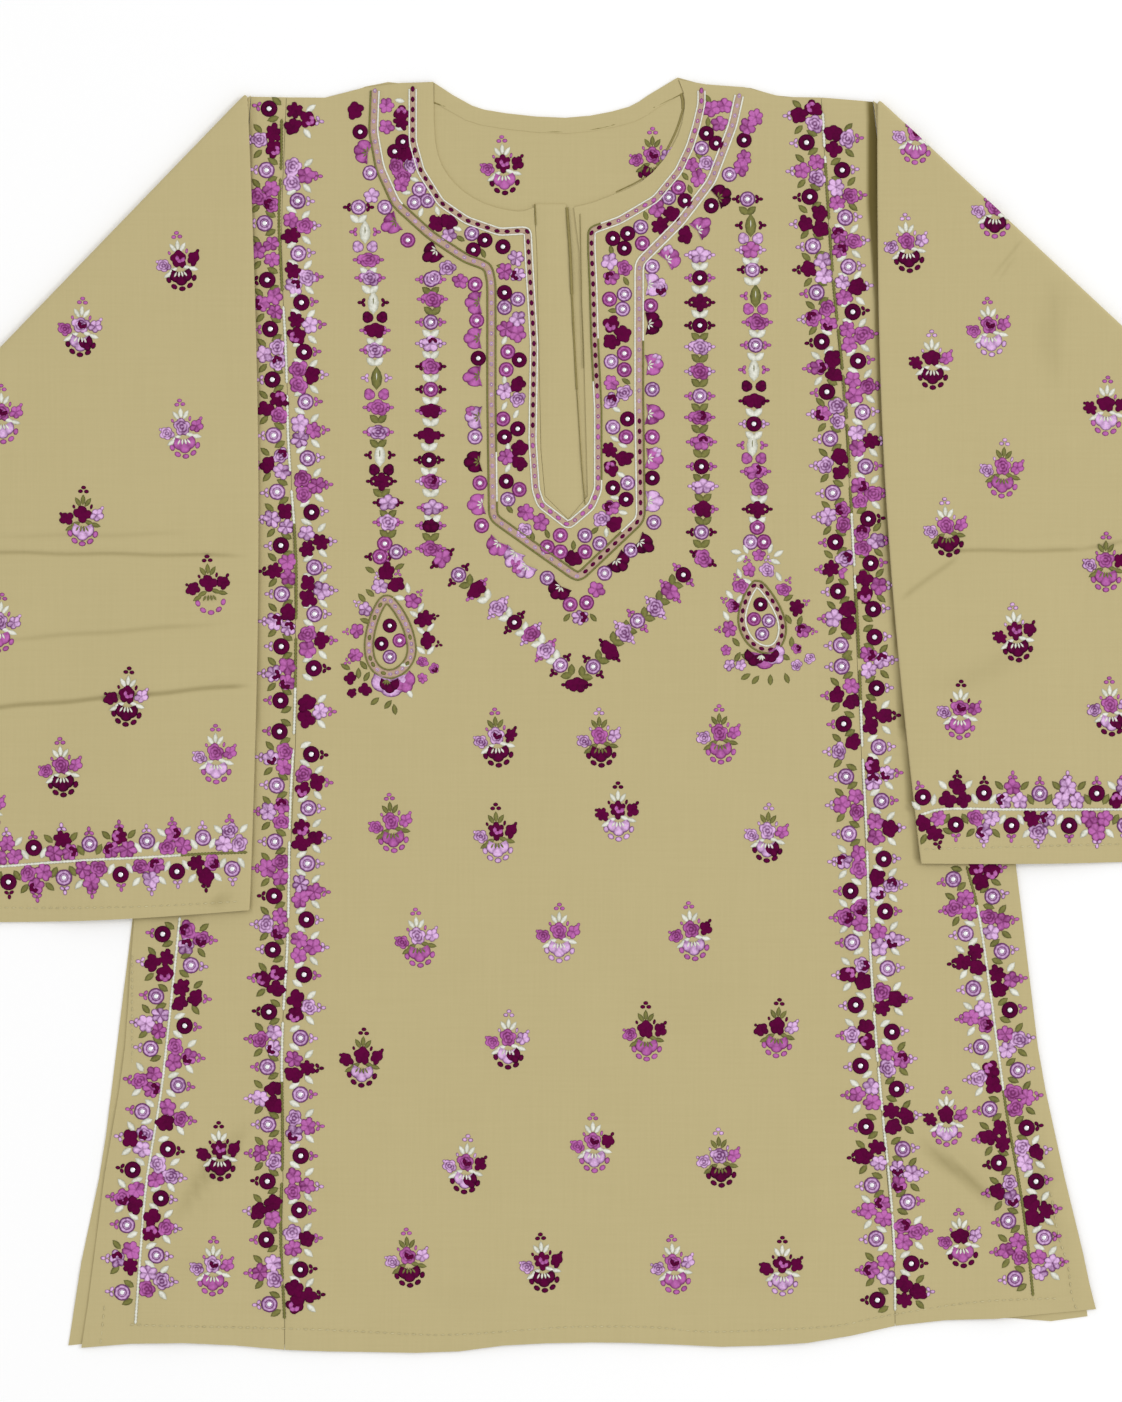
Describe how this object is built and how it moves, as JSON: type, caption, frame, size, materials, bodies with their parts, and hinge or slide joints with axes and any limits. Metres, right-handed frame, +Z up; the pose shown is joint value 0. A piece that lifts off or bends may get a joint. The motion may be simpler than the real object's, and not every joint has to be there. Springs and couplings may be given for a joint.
{
  "type": "short kurti",
  "caption": "Short kurti laid flat, front up, sleeves folded down at the shoulders: a straight tunic with side slits and a round neck with a front slit, covered in rows of flower embroidery.",
  "frame": {"origin": "on the floor under the middle of the laid out garment", "axes": "+X to the right as seen from above with the collar away from the viewer, +Y from the hem to the collar, +Z up from the floor"},
  "size_m": [0.837, 0.7774, 0.0071],
  "materials": {
    "cotton": "matt, plain woven, khaki",
    "wine_thread": "satin stitch, soft sheen, wine",
    "orchid_thread": "satin stitch, soft sheen, orchid",
    "lavender_thread": "satin stitch, soft sheen, lavender",
    "white_thread": "satin stitch, soft sheen, off-white",
    "olive_thread": "satin stitch, soft sheen, olive",
    "couched_ground": "couched thread, matt, dusty pink",
    "mirror_disc": "polished small mirror discs"
  },
  "bodies": {
    "root": {"back": "cotton", "front_side_left": "cotton", "front_centre": "cotton", "front_side_right": "cotton", "back_neck_facing": "cotton", "slit_strip": "cotton", "sleeve_left": "cotton", "sleeve_right": "cotton"}
  },
  "joints": []
}
